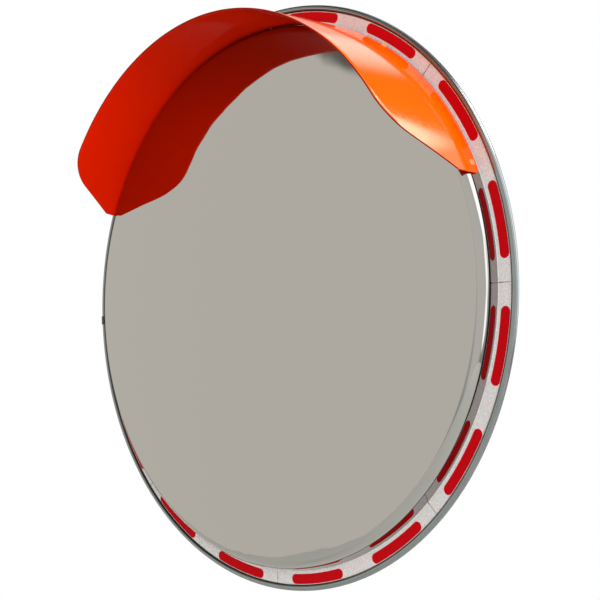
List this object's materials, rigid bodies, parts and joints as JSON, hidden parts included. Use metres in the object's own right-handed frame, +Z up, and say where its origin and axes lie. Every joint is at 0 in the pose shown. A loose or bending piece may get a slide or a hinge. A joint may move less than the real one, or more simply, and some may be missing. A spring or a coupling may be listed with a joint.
{
  "type": "traffic convex mirror",
  "caption": "Round convex road mirror of polished steel with a reflective tape ring, an orange visor and a tilting, swivelling bracket that clamps to a round pole.",
  "frame": {"origin": "on the axis of the pole that the clamp grips, level with the middle of the mirror and of the clamp", "axes": "+Z up along the pole, -Y the way the mirror faces, +X to the right seen from in front of the mirror"},
  "size_m": [0.801, 0.423, 0.8],
  "materials": {
    "mirror_steel": "mirror-polished stainless steel sheet",
    "tape_film": "white retroreflective film printed with red marks",
    "visor_orange": "glossy orange sheet",
    "rim_steel": "bright rolled stainless band",
    "back_paint": "grey powder coat",
    "galvanised": "hot-dip galvanised steel",
    "cast_grey": "galvanised casting",
    "zinc": "zinc-plated fastener",
    "friction_fibre": "dark fibre friction disc",
    "rubber": "black rubber"
  },
  "bodies": {
    "base": {"pole_saddle": "galvanised", "pole_cap": "galvanised", "front_liner": "rubber", "rear_liner": "rubber", "pan_bolt": "zinc", "pan_nut": "zinc", "pan_washers": "zinc", "clamp_bolts": "zinc", "clamp_nuts": "zinc", "clamp_washers": "zinc"},
    "arm": {"swivel_arm": "cast_grey", "tilt_discs": "friction_fibre", "pan_discs": "friction_fibre"},
    "head": {"mirror_dish": "mirror_steel", "edge_gasket": "rubber", "back_plate": "back_paint", "rim_band": "rim_steel", "band_clip": "rim_steel", "tape_1": "tape_film", "tape_2": "tape_film", "tape_3": "tape_film", "tape_4": "tape_film", "tape_5": "tape_film", "tape_6": "tape_film", "tape_7": "tape_film", "tape_8": "tape_film", "visor": "visor_orange", "visor_rivets": "visor_orange", "backing_plate": "galvanised", "bracket_bolts": "zinc", "bracket_washers": "zinc", "bracket_nuts": "zinc", "tilt_bracket": "galvanised", "tilt_bolt": "zinc", "tilt_nut": "zinc", "tilt_washers": "zinc"}
  },
  "joints": [
    {"name": "swivel", "type": "hinge", "parent": "base", "child": "arm", "pos_m": [0, -0.085, 0], "axis": [0, 0, 1], "range_deg": [-60, 60]},
    {"name": "tilt", "type": "hinge", "parent": "arm", "child": "head", "pos_m": [0, -0.16, 0], "axis": [1, 0, 0], "range_deg": [-20, 20]}
  ]
}
